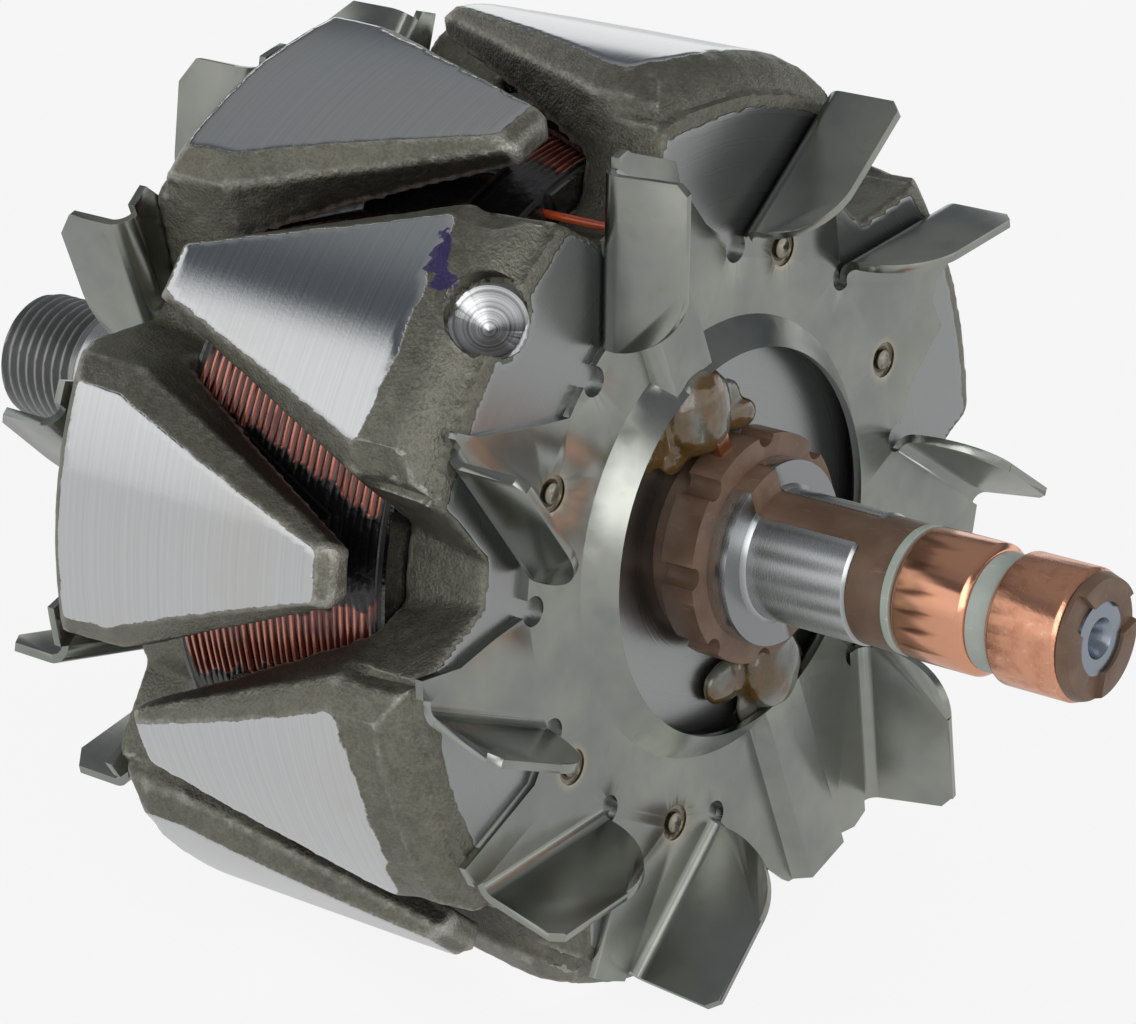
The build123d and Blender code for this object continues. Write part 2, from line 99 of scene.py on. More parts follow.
def linked(name, data):
    made = bpy.data.objects.new(name, data)
    bpy.context.scene.collection.objects.link(made)
    return made


print("the top of the rotor:", [round(v / mm, 1) for v in spot(0, outer_radius, 0)])

# %% [markdown]
# ## Camera
# The photograph was taken with a long lens, a little above the shaft and from its slip-ring end.
# A long lens keeps far and near claws nearly the same size. The small lens shift moves the picture
# sideways without turning the camera, as when a photograph has been cropped off centre.

# %% Camera at the photograph's viewpoint
azimuth, elevation, roll = math.radians(40.147), math.radians(19.197), math.radians(-0.408)
back = Vector((
    math.sin(azimuth) * math.cos(elevation),
    -math.cos(azimuth) * math.cos(elevation),
    math.sin(elevation),
))
level = Vector((math.cos(azimuth), math.sin(azimuth), 0))
upright = back.cross(level)
right = level * math.cos(roll) + upright * math.sin(roll)
up = back.cross(right)
lens = bpy.data.cameras.new("photo_camera")
lens.lens = 139.788
lens.sensor_width = 36.0
lens.shift_x = 0.0469
lens.shift_y = -0.02755
camera = linked("photo_camera", lens)
turn = Matrix((right, up, back)).transposed().to_4x4()
camera.matrix_world = Matrix.Translation((0.31112, -0.37006, 0.16857)) @ turn
bpy.context.scene.camera = camera
print("distance to the rotor in mm:", round(camera.matrix_world.translation.length / mm))

# %% [markdown]
# ## Shader arithmetic
# A procedural material is mostly arithmetic on sockets, and node by node that is hard to read.
# The class below wraps one output socket and overloads Python's operators, so that `1 - mask`
# adds a Math node and hands back its result. Anything that isn't plain arithmetic comes from the
# `node` method of a finish, which takes the node's type, its settings and its inputs.

# %% Reading: a socket that does arithmetic
class Reading:
    def __init__(self, finish, socket):
        self.finish = finish
        self.socket = socket

    def math(self, operation, *values):
        inputs = {place: value for place, value in enumerate((self,) + values)}
        return self.finish.node("ShaderNodeMath", {"operation": operation}, inputs)

    def __add__(self, other):
        return self.math("ADD", other)

    __radd__ = __add__

    def __mul__(self, other):
        return self.math("MULTIPLY", other)

    __rmul__ = __mul__

    def __sub__(self, other):
        return self.math("SUBTRACT", other)

    def __rsub__(self, other):
        return self * -1 + other

    def __truediv__(self, other):
        return self.math("DIVIDE", other)

    def rises(self, low, high, start=0.0, end=1.0):
        """A smooth step: start below low, end above high."""
        return self.finish.node(
            "ShaderNodeMapRange", {"interpolation_type": "SMOOTHSTEP"},
            {"Value": self, "From Min": low, "From Max": high, "To Min": start, "To Max": end})


print("Reading knows:", [name for name in vars(Reading) if name.startswith("__r") or name == "rises"])

# %% [markdown]
# The finish itself is a material with a Principled shader. It offers what the patterns below are
# drawn with: the point on the rotor in metres, its parts along the axes, the distance from a given
# point, and a noise of a given grain size. `tint` mixes two colours by a mask, because colours lose
# their hue when they go through a Math node, and `wear` links the results to the shader.

# %% Finish: one material and its nodes
class Finish:
    def __init__(self, name, **constants):
        self.material = bpy.data.materials.new(name)
        self.material.use_nodes = True
        self.tree = self.material.node_tree
        self.shader = self.tree.nodes["Principled BSDF"]
        for socket, value in constants.items():
            self.shader.inputs[socket.replace("_", " ")].default_value = value

    def node(self, kind, settings=None, inputs=None, out=0):
        made = self.tree.nodes.new(kind)
        for key, value in (settings or {}).items():
            if key == "stops":
                ramp = made.color_ramp
                while len(ramp.elements) < len(value):
                    ramp.elements.new(1.0)
                for element, (place, colour) in zip(ramp.elements, value):
                    element.position = place
                    element.color = colour + (1.0,)
            else:
                setattr(made, key, value)
        known = {socket.identifier: socket for socket in made.inputs}
        for key, value in (inputs or {}).items():
            socket = known[key] if key in known else made.inputs[key]
            if isinstance(value, Reading):
                self.tree.links.new(value.socket, socket)
            elif isinstance(value, tuple) and socket.type == "RGBA":
                socket.default_value = value + (1.0,)
            else:
                socket.default_value = value
        outputs = {socket.identifier: socket for socket in made.outputs}
        return Reading(self, outputs[out] if out in outputs else made.outputs[out])

    def place(self):
        return self.node("ShaderNodeTexCoord", out="Object")

    def parts(self, vector):
        split = self.node("ShaderNodeSeparateXYZ", inputs={"Vector": vector})
        return [Reading(self, socket) for socket in split.socket.node.outputs]

    def axes(self):
        return self.parts(self.place())

    def facing(self):
        """The x, y and z of the surface's direction."""
        return self.parts(self.node("ShaderNodeTexCoord", out="Normal"))

    def vector(self, operation, *values, out=0):
        inputs = dict(enumerate(values))
        return self.node("ShaderNodeVectorMath", {"operation": operation}, inputs, out)

    def grain(self, size, detail=2.0, rough=0.5, at=None, shift=0.0):
        """Noise from 0 to 1 whose lumps are about size millimetres across."""
        moved = self.vector("ADD", at or self.place(), (shift, shift, shift))
        return self.node("ShaderNodeTexNoise", inputs={
            "Vector": moved, "Scale": 1 / (size * mm), "Detail": detail, "Roughness": rough})

    def at(self, x=0.0, y=0.0, z=0.0):
        return self.node("ShaderNodeCombineXYZ", inputs={"X": x, "Y": y, "Z": z})

    def tint(self, first, second, mask):
        return self.node(
            "ShaderNodeMix", {"data_type": "RGBA"},
            {"Factor_Float": mask, "A_Color": first, "B_Color": second}, out="Result_Color")

    def near(self, point):
        """Distance from a point in millimetres."""
        return self.vector("DISTANCE", self.place(), tuple(point), out="Value") * (1 / mm)

    def relief(self, height, depth):
        """Bump whose height of 1 stands for depth millimetres."""
        return self.node("ShaderNodeBump", inputs={
            "Height": height, "Strength": 1.0, "Distance": depth * mm})

    def wear(self, **links):
        for socket, value in links.items():
            self.tree.links.new(value.socket, self.shader.inputs[socket.replace("_", " ")])
        return self.material


trial = Finish("trial")
print("1 - grain is a", (1 - trial.grain(2)).socket.node.operation, "node")
bpy.data.materials.remove(trial.material)

# %% [markdown]
# ## Studio
# Bare metal shows its surroundings, so the studio matters as much as the steel. The photograph was
# taken in a white tent with a darker ceiling: faces that look towards the horizon are bright, and
# faces that look up are slate grey. The world is therefore a gradient by direction, and its dark
# ceiling hangs lower on the far side. The camera itself sees plain white behind the rotor.

# %% World
class Sky(Finish):
    def __init__(self, world):
        world.use_nodes = True
        self.tree = world.node_tree


world = bpy.data.worlds.new("studio")
bpy.context.scene.world = world
sky = Sky(world)
direction = sky.node("ShaderNodeTexCoord", out="Generated")
_, far_side, height = sky.parts(direction)
height = height + (far_side + 0.45).math("MAXIMUM", 0.0) * 0.25
tent = sky.node("ShaderNodeValToRGB", {"stops": [
    (0.0, (0.55, 0.55, 0.55)), (0.5, (0.82, 0.83, 0.84)), (0.62, (1.0, 1.0, 1.0)),
    (0.775, (0.95, 0.96, 0.97)), (0.805, (0.075, 0.088, 0.10)), (0.85, (0.11, 0.12, 0.135)),
    (0.9, (0.24, 0.25, 0.26)), (1.0, (0.3, 0.305, 0.31)),
]}, {"Fac": height * 0.5 + 0.5})
lit = sky.tree.nodes["Background"]
sky.tree.links.new(tent.socket, lit.inputs["Color"])
white = sky.node("ShaderNodeBackground", inputs={"Color": (1.0, 1.0, 1.0), "Strength": 1.0})
seen = sky.node("ShaderNodeLightPath", out="Is Camera Ray")
both = sky.node("ShaderNodeMixShader", inputs={0: seen, 1: Reading(sky, lit.outputs[0]), 2: white})
sky.tree.links.new(both.socket, sky.tree.nodes["World Output"].inputs["Surface"])
bpy.context.scene.view_settings.view_transform = "Standard"
print("world nodes:", len(sky.tree.nodes))

# %% [markdown]
# The rotor stands on a pale floor, which also lights it from below. Its material shows the camera
# mostly white and the reflections half white, and the rest is an ordinary matte surface, so that a
# soft shadow stays under the claws. One large lamp from the slip-ring side gives the fan its gloss.

# %% Floor and lamp
bpy.ops.mesh.primitive_grid_add(x_subdivisions=2, y_subdivisions=2, size=6.0)
floor = bpy.context.object
floor.name = "floor"
floor.location = (0, 0, cad_box[0][2])
floor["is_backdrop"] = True
paper = Finish("floor_paper", Base_Color=(0.8, 0.8, 0.8, 1), Roughness=0.9)
path = paper.node("ShaderNodeLightPath", out="Is Camera Ray")
rays = [Reading(paper, path.socket.node.outputs[name]) for name in (
    "Is Camera Ray", "Is Glossy Ray", "Is Transmission Ray")]
glow = paper.node("ShaderNodeEmission", inputs={"Color": (1.0, 1.0, 1.0), "Strength": 1.0})
share = rays[0] * 0.88 + rays[1] * 0.5 + rays[2] * 0.88
mixed = paper.node("ShaderNodeMixShader", inputs={
    0: share, 1: Reading(paper, paper.shader.outputs[0]), 2: glow})
paper.tree.links.new(mixed.socket, paper.tree.nodes["Material Output"].inputs["Surface"])
floor.data.materials.append(paper.material)

light = bpy.data.lights.new("fan_side_lamp", "AREA")
light.shape = "RECTANGLE"
light.size, light.size_y = 0.5, 0.6
light.energy = 1.6
lamp = linked("fan_side_lamp", light)
lamp.location = (0.75, -0.45, 0.35)
lamp.rotation_euler = (-lamp.location).to_track_quat("-Z", "Y").to_euler()
print("floor at z =", round(floor.location.z / mm, 1), "mm, one lamp of", light.energy, "W")

# %% [markdown]
# ## Turned and forged steel
# A claw pole is forged, and only its outside and end face are turned afterwards. The forging keeps
# a grainy olive-grey skin, and the lathe leaves bright metal with fine lines round the axis. Both
# belong to one finish here: a mask tells by the radius and the place along the shaft where the
# lathe has been. That needs no painting, and the ragged edge comes from the shape itself. The
# turned end face gets painted shade. The forged skin gets a painted highlight, partly real wear,
# where the surface is pointed, and painted shade in hollows and on the claws' flanks. The pole at
# the slip rings also has a drilled hole with turning rings and painted shade in it, and a smear of
# violet paint beside it.

# %% Lathe lines and steel skins
balance_angle, balance_tilt = -47.2, math.radians(31)
balance_axis = spot(math.sin(balance_tilt), math.cos(balance_tilt), balance_angle) / mm
balance_centre = spot(26.5, 50.0, balance_angle)
hole_radius = 4.22
paint_spots = (   # place along the shaft, radius, angle and size
    (18.9, 53.6, -40.6, 0.6), (19.4, 53.4, -42.2, 1.0), (20.3, 53.2, -44.0, 1.3),
    (21.4, 53.0, -45.6, 1.5), (22.8, 52.6, -46.2, 1.2), (24.6, 51.6, -46.2, 0.7),
)


def lathe_lines(finish, place, width, detail=3.0):
    """Fine grooves: noise that changes only with the one place it is given, in metres."""
    return finish.node("ShaderNodeTexNoise", inputs={
        "Vector": finish.at(x=place), "Scale": 1 / (width * mm), "Detail": detail, "Roughness": 0.65})


def bore_distance(finish, centre, axis):
    """Distance from a hole's axis and place along it, both in millimetres."""
    offset = finish.vector("SUBTRACT", finish.place(), tuple(centre))
    across = finish.vector("CROSS_PRODUCT", offset, tuple(axis))
    length = finish.vector("LENGTH", across, out="Value")
    along = finish.vector("DOT_PRODUCT", offset, tuple(axis), out="Value")
    return length * (1 / mm), along * (1 / mm)


def pole_steel(name, side, face, drilled):
    steel = Finish(name, Specular_IOR_Level=0.5)
    x, y, z = steel.axes()
    radius = (y * y + z * z).math("SQRT")
    speck = steel.grain(0.38, detail=3.0, rough=0.6)
    pits = steel.grain(1.3, detail=2.0, shift=0.1)
    ragged = radius * (1 / mm) + (speck - 0.5) * 0.16
    outside = ragged.rises(outer_radius - 0.15, outer_radius - 0.09)
    outward_x = x * (side / mm)
    end_face = outward_x.rises(face - 0.06, face - 0.03)
    lathe = outside.math("MAXIMUM", end_face)
    along_lines = lathe_lines(steel, x + (y + z) * 0.004, 0.5, detail=6.0)
    face_lines = lathe_lines(steel, radius, 0.25, detail=2.0)
    lines = along_lines * (1 - end_face) + face_lines * end_face
    if drilled:
        from_axis, depth = bore_distance(steel, balance_centre, balance_axis)
        drill = (1 - from_axis.rises(hole_radius + 0.02, hole_radius + 0.08)) * depth.rises(-5.2, -5.0)
        rings = lathe_lines(steel, from_axis * mm, 0.35, detail=5.0).rises(0.2, 0.8)
        lines = lines * (1 - drill) + rings * drill
        lathe = lathe.math("MAXIMUM", drill)
        grooves = end_face.math("MAXIMUM", drill)
    else:
        grooves = end_face
    cloud = steel.grain(14.0, detail=3.0)
    bright = steel.tint((0.58, 0.59, 0.595), (0.68, 0.69, 0.69), lines.rises(0.25, 0.75))
    bright = steel.tint(bright, (0.62, 0.595, 0.54), cloud.rises(0.5, 0.8, 0.0, 0.5))
    # painted shade: the turned end face, down in the fan's hole, is darkened
    bright = steel.tint(bright, (0.30, 0.31, 0.31), end_face * 0.8)
    facing_x, facing_y, facing_z = steel.facing()
    outward = (facing_y * y + facing_z * z) / radius
    flank = (1 - outward.rises(0.15, 0.5)) * (1 - facing_x.math("ABSOLUTE").rises(0.45, 0.75))
    pointed = steel.node("ShaderNodeNewGeometry", out="Pointiness")
    inland = 1 - outward_x.rises(face - 1.6, face - 0.9)
    # worn edges, partly painted highlight: pointed places of the skin turn pale
    wear_and_highlight = pointed.rises(0.508, 0.54, 0.0, 0.85) * (speck + 0.1) * inland
    mixed = (speck * 0.4 + pits * 0.3 + cloud * 0.3).rises(0.32, 0.68)
    skin = steel.tint((0.13, 0.127, 0.10), (0.25, 0.243, 0.195), mixed)
    skin = steel.tint(skin, (0.11, 0.095, 0.065), cloud.rises(0.5, 0.75, 0.0, 0.4))
    # painted shade: the claws' flanks, facing sideways, are darkened
    skin = steel.tint(skin, (0.03, 0.028, 0.021), flank * 0.85)
    # painted shade: hollows of the skin, where pointiness is low, are darkened
    skin = steel.tint(skin, (0.03, 0.027, 0.02), pointed.rises(0.42, 0.49, 0.6, 0.0))
    skin = steel.tint(skin, (0.62, 0.61, 0.55), wear_and_highlight)
    colour = steel.tint(skin, bright, lathe)
    rough = (lines * 0.09 + 0.08 + grooves * 0.16) * lathe + (0.30 + pits * 0.2) * (1 - lathe)
    metal = lathe * 0.3 + 0.7
    bumps = (speck + pits * 0.6) * (1 - lathe)
    scored = (lines * (grooves * 0.08 + 0.02) + speck * 0.022) * lathe
    if drilled:
        blot = steel.grain(1.6, detail=3.0, shift=0.3)
        reaches = [steel.near(spot(*place)) - size for *place, size in paint_spots]
        reach = reaches[0]
        for other in reaches[1:]:
            reach = reach.math("MINIMUM", other)
        paint = 1 - (reach + (blot - 0.5) * 3.4).rises(-0.12, 0.12)
        ink = steel.tint((0.012, 0.008, 0.07), (0.06, 0.035, 0.17), blot)
        # turning rings, with painted shade darkening the whole hole
        colour = steel.tint(colour, (0.05, 0.05, 0.05), drill * rings.rises(0.2, 0.7, 0.6, 0.1))
        colour = steel.tint(colour, ink, paint * 0.95)
        metal = metal * (1 - paint * 0.9)
        rough = rough * (1 - paint) + paint * 0.38
    relief = steel.relief(bumps + scored, 0.16)
    return steel.wear(Base_Color=colour, Roughness=rough, Metallic=metal, Normal=relief)


drive_steel = pole_steel("drive_pole_steel", -1, drive_face, False)
slip_steel = pole_steel("slip_pole_steel", 1, slip_face, True)
print("nodes in the drilled pole's finish:", len(slip_steel.node_tree.nodes))

# %% [markdown]
# ## Copying a solid to work on
# A frame node's shape is never changed, but a copy of its mesh can be. The helpers below copy a
# node and join its loose vertices, make an object of an edited mesh, apply a modifier, and hand the
# result over: it rides on the rotor's body, replaces the node and gets the given material. Nodes
# whose shape is right as it is only get another material.

# %% Helpers for pieces
def copied(node):
    made = linked(node + "_piece", nodes[node].data.copy())
    made.data.materials.clear()
    work = bmesh.new()
    work.from_mesh(made.data)
    bmesh.ops.remove_doubles(work, verts=work.verts, dist=0.002 * mm)
    work.to_mesh(made.data)
    work.free()
    return made


def built(work, name):
    mesh = bpy.data.meshes.new(name)
    work.to_mesh(mesh)
    work.free()
    return linked(name, mesh)


def applied(piece, kind, **settings):
    modifier = piece.modifiers.new(kind.lower(), kind)
    for key, value in settings.items():
        setattr(modifier, key, value)
    graph = bpy.context.evaluated_depsgraph_get()
    mesh = bpy.data.meshes.new_from_object(piece.evaluated_get(graph))
    piece.modifiers.clear()
    piece.data = mesh


def smoothed(mesh, sharp=None):
    """Shade smooth, apart from edges that turn by more than sharp degrees."""
    mesh.polygons.foreach_set("use_smooth", np.ones(len(mesh.polygons), bool))
    if sharp:
        mesh.set_sharp_from_angle(angle=math.radians(sharp))


def finished(piece, material, slot_name, *replaced, sharp=None):
    mesh = piece.data
    smoothed(mesh, sharp)
    mesh.materials.clear()
    mesh.materials.append(material)
    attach(piece, "root")
    if replaced:
        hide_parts(*replaced)
    mesh.calc_loop_triangles()
    print(piece.name, len(mesh.loop_triangles), "triangles")


def recoated(material, *names):
    for name in names:
        nodes[name].data.materials.clear()
        nodes[name].data.materials.append(material)
        print(name, "is", material.name)


def points_of(mesh):
    flat = np.empty(len(mesh.vertices) * 3)
    mesh.vertices.foreach_get("co", flat)
    return flat.reshape(-1, 3)


def normals_of(mesh):
    flat = np.empty(len(mesh.vertices) * 3)
    mesh.vertex_normals.foreach_get("vector", flat)
    return flat.reshape(-1, 3)


def move_points(mesh, points):
    mesh.vertices.foreach_set("co", np.ascontiguousarray(points).ravel())
    mesh.update()


print("helpers ready")

# %% [markdown]
# ## Claw poles
# The claws need a forged surface all over, with a real edge where the lathe stopped. We remesh a
# copy of the pole into an even grid, swell it a little and push every point out by layered noise.
# Then we do what the lathe does: whatever sticks out beyond the turned radius or the end face is
# cut back to it. Where the swollen skin stays below, the forging shows. The turned face ends at
# another place on each claw, which a list gives, and beyond it the skin is sunk.

# %% Forge and turn the poles
swell = 0.05
forging_noise = ((0.08, 5.0, 3.1), (0.06, 1.9, 7.7), (0.03, 0.9, 5.2))   # depth, size, seed
skin_drop = 0.75


def lumps(points, size, seed):
    """Noise from -1 to 1 at each point, with lumps about size millimetres across."""
    scaled = points / (size * mm) + seed
    return np.array([noise.noise(Vector(point)) for point in scaled])


def weathered_pole(node, side, face, first_claw, skin_starts, material, slot_name):
    piece = copied(node)
    voxel = 0.6
    applied(piece, "REMESH", mode="VOXEL", voxel_size=voxel * mm)
    applied(piece, "SMOOTH", factor=0.4, iterations=1)
    mesh = piece.data
    points = points_of(mesh)
    radius, angle = polar(points)
    along = side * points[:, 0] / mm
    push = swell
    for depth, size, seed in forging_noise:
        push = push + depth * lumps(points, size, seed)
    turned = (radius > (outer_radius - 0.08) * mm) | (along > face - 0.08)
    push = np.where(turned, np.maximum(push, 0.01), push)
    for number, start in enumerate(skin_starts):
        apart = (angle - first_claw - claw_pitch * number + 180) % 360 - 180
        bulge = 1.6 * np.maximum(0, 1 - (apart / 14) ** 2)   # the turned face ends in a bow
        ragged = start + bulge + 0.9 * lumps(points, 2.6, 1.3)
        on_claw = (np.abs(apart) < 26) & (radius > 50 * mm)
        push = push - skin_drop * np.clip((along - ragged) / 3.0, 0, 1) * on_claw
    push = push * np.clip((radius / mm - 11) / 2, 0, 1) * mm   # none at the bore
    points = points + normals_of(mesh) * push[:, None]
    radius, _ = polar(points)
    back_to = np.minimum(1.0, outer_radius * mm / np.maximum(radius, 1e-6))
    points[:, 1] *= back_to
    points[:, 2] *= back_to
    points[:, 0] = side * np.minimum(side * points[:, 0], face * mm)
    move_points(mesh, points)
    finished(piece, material, slot_name, node)
    return piece


weathered_pole(
    "drive_end_claw_pole", -1, drive_face, drive_claw, (21.0, 20.0, 21.5, 20.0, 24.0, 22.0),
    drive_steel, "drive_pole_steel")
slip_pole = weathered_pole(
    "slip_ring_end_claw_pole", 1, slip_face, slip_claw, (20.5, 19.0, 18.5, 19.5, 18.3, 18.2),
    slip_steel, "slip_pole_steel")

# %% [markdown]
# The balance hole is drilled after forging, so its rim is crisp. The remeshed pole has only a soft
# dent there. A fine drill, made of a cylinder with a cone under it, is subtracted again, a tenth of
# a millimetre larger than the dent. A count of the vertices left makes sure that the cut took only
# the hole.

# %% Drill the balance hole again
def turned_solid(name, profile, axis_at):
    """A closed solid turned about its own Z from (radius, height) points in millimetres."""
    segments = 96
    work = bmesh.new()
    ring_before = None
    for radius, height in profile:
        ring = []
        for n in range(segments):
            turn = 2 * math.pi * n / segments
            ring.append(work.verts.new(Vector((
                radius * math.cos(turn), radius * math.sin(turn), height)) * mm))
        if ring_before:
            for n in range(segments):
                m = (n + 1) % segments
                work.faces.new((ring_before[n], ring_before[m], ring[m], ring[n]))
        else:
            work.faces.new(list(reversed(ring)))
        ring_before = ring
    work.faces.new(ring_before)
    bmesh.ops.recalc_face_normals(work, faces=work.faces)
    work.transform(axis_at)
    return built(work, name)


upright_x = balance_axis.orthogonal().normalized()
drill_frame = Matrix((upright_x, balance_axis.cross(upright_x), balance_axis)).transposed().to_4x4()
drill_frame = Matrix.Translation(balance_centre) @ drill_frame
drill = turned_solid("drill", [(0.05, -4.6), (hole_radius, -2.1), (hole_radius, 6.0)], drill_frame)
undrilled = len(slip_pole.data.vertices)
applied(slip_pole, "BOOLEAN", operation="DIFFERENCE", object=drill, solver="MANIFOLD")
assert len(slip_pole.data.vertices) > 0.9 * undrilled, "the drill took more than its hole"
bpy.data.objects.remove(drill)
smoothed(slip_pole.data, 50)
print("drilled pole:", len(slip_pole.data.vertices), "vertices")

# %% [markdown]
# ## Field winding
# The coil is enamelled copper wire laid turn by turn and soaked in varnish. Beside the claws and at
# the ends of the coil the varnish has set thick, and the finish paints it black, which is also
# painted shade under the claws; only the middle of each gap shows copper. One function says how
# covered a place is, and both the shape and the finish use it.

# %% Where black varnish and painted shade cover the coil
bare_half = 13.9                # half the bare length of the coil
tip_half, widening = 3.0, 0.38  # half a claw's width in degrees at its tip, and more per millimetre


def varnish_and_shade_cover(x, angle):
    """1 beside a claw and at the coil's ends, 0 where the copper is bare."""
    ragged = 1.6 * noise.noise(Vector((x * 0.45, angle * 0.11, 2.0)))
    most = abs(x - claws_middle) - bare_half + ragged
    for side, first, margin in ((1, slip_claw, 0.2), (-1, drive_claw, 3.0)):
        from_tip = side * (x - claws_middle) + claw_reach
        apart = abs((angle - first + claw_pitch / 2) % claw_pitch - claw_pitch / 2)
        claw_half = tip_half + from_tip * widening
        most = max(most, claw_half + margin + ragged - apart)
    return min(1.0, max(0.0, most / 1.5))


print("cover in the middle of a gap:", varnish_and_shade_cover(claws_middle, (slip_claw + drive_claw) / 2))

# %% [markdown]
# Between the claws only the outer layer of wire shows, so we model that layer as one helix of round
# ridges on a closed drum: each column of points follows the wire's curve along the shaft, and every
# step round the drum moves the ridges on by a part of the pitch. A slow wobble keeps the turns from
# looking machined. Each point also keeps how high it lies on its wire and how much varnish and shade
# is on it, so that the finish can paint highlights on the crests, shade in the gaps and black cover.

# %% Wind the coil
def wound_coil(around, radius, inner, start, end):
    turns, per_turn, wire = 28, 8, 0.45
    rows = turns * per_turn
    pitch = (end - start) / turns
    work = bmesh.new()
    varnish_and_shade = work.verts.layers.float.new("varnish")
    crown = work.verts.layers.float.new("crest")
    grid = []
    for n in range(around):
        turn = n / around
        bend = 6.283 * turn
        column = [work.verts.new(spot(start, inner, 360 * turn))]
        for row in range(rows + 1):
            x = start + pitch * row / per_turn
            wobble = noise.noise(Vector((x * 0.8, math.cos(bend) * 2.5, math.sin(bend) * 2.5)))
            phase = (row / per_turn - turn + 0.12 * wobble) % 1.0 - 0.5
            ridge = math.sqrt(max(0.0, 1 - (phase * 2) ** 2))
            covered = varnish_and_shade_cover(x, 360 * turn)
            groove = wire * (1 - ridge) * (1 - 0.85 * covered)
            height = radius - groove + 0.12 * wobble - 0.14
            point = work.verts.new(spot(x, height, 360 * turn))
            point[varnish_and_shade] = covered
            point[crown] = ridge
            column.append(point)
        column.append(work.verts.new(spot(end, inner, 360 * turn)))
        grid.append(column)
    for n in range(around):
        first, second = grid[n], grid[(n + 1) % around]
        for row in range(len(first)):
            nxt = (row + 1) % len(first)
            work.faces.new((first[row], first[nxt], second[nxt], second[row]))
    bmesh.ops.recalc_face_normals(work, faces=work.faces)
    return built(work, "wound_coil")


coil_low, coil_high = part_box("field_winding")
coil = wound_coil(
    240, coil_high.z / mm, 28.0, coil_low.x / mm, coil_high.x / mm)
copper = Finish("winding_copper", Coat_Roughness=0.08, Specular_IOR_Level=0.5)
mottle = copper.grain(5.0, detail=3.0)
crest = copper.node("ShaderNodeAttribute", {"attribute_name": "crest"}, out="Fac")
varnish_and_shade = copper.node("ShaderNodeAttribute", {"attribute_name": "varnish"}, out="Fac")
varnish_and_shade = varnish_and_shade.rises(0.15, 0.55)
# painted shade: near black in the gaps between wires, copper-red up the sides
wire_colour_and_light = copper.tint((0.012, 0.003, 0.002), (0.26, 0.045, 0.024), crest.rises(0.5, 0.85))
# painted highlight: salmon along the top of each wire
wire_colour_and_light = copper.tint(wire_colour_and_light, (0.85, 0.33, 0.22), crest.rises(0.93, 1.0, 0.0, 0.9))
wire_colour_and_light = copper.tint(wire_colour_and_light, (0.10, 0.018, 0.010), mottle.rises(0.48, 0.68, 0.0, 0.8))
# black varnish, and painted shade beside and under the claws
wire_colour_and_light = copper.tint(wire_colour_and_light, (0.004, 0.004, 0.004), varnish_and_shade)
drips = copper.grain(1.6, detail=3.0)
finished(coil, copper.wear(
    Base_Color=wire_colour_and_light,
    Metallic=crest.rises(0.5, 0.8, 0.1, 0.6) * (1 - varnish_and_shade),
    Roughness=mottle * 0.15 + 0.2 + varnish_and_shade * 0.1,
    Coat_Weight=0.8 - varnish_and_shade * 0.45,
    Normal=copper.relief(drips * (varnish_and_shade * 6 + 1), 0.04),
), "winding_copper", "field_winding")

# %% [markdown]
# ## Insulation under the claws
# Black impregnated paper lies between the coil and the poles, folded under each claw. Varnish has
# run over it and set in glossy wrinkles, so the shape can stay as it is and the finish carries the
# wrinkles: two noises of different size, one of them stretched along the shaft.

# %% Black varnished paper
varnish = Finish("varnished_paper", Coat_Weight=1.0, Coat_Roughness=0.05)
x, y, z = varnish.axes()
runs = varnish.grain(3.0, detail=3.0, at=varnish.at(x=x * 0.35, y=y, z=z))
beads = varnish.grain(1.1, detail=2.0, shift=0.2)
paper_tint = varnish.tint((0.006, 0.006, 0.006), (0.035, 0.028, 0.022), runs.rises(0.5, 0.75))
varnish.wear(
    Base_Color=paper_tint, Roughness=beads * 0.2 + 0.15,
    Normal=varnish.relief(runs * 0.75 + beads * 0.25, 0.9))
recoated(varnish.material, "drive_end_insulating_star", "slip_ring_end_insulating_star")

# %% [markdown]
# ## Fans
# Both fans are pressed from sheet steel and passivated, which leaves a satin grey with a yellowish
# cast. A pressed edge is never sharp, and the fine bright line along every edge in the photograph is
# its rounding. A bevel on a copy of the solid gives that line. The spot welds have a domed middle,
# a dark groove round it and a pale brown halo, all drawn by the distance from each weld.

# %% Satin sheet and bevelled fans
sheet_thickness = 1.0
weld_angles = (24.9, 72.9, 128.0, 202.0, 241.6, 300.8)   # before the rotor rolled to rest
weld_places = [spot(slip_face + sheet_thickness, 33.0, angle - rest_turn) for angle in weld_angles]


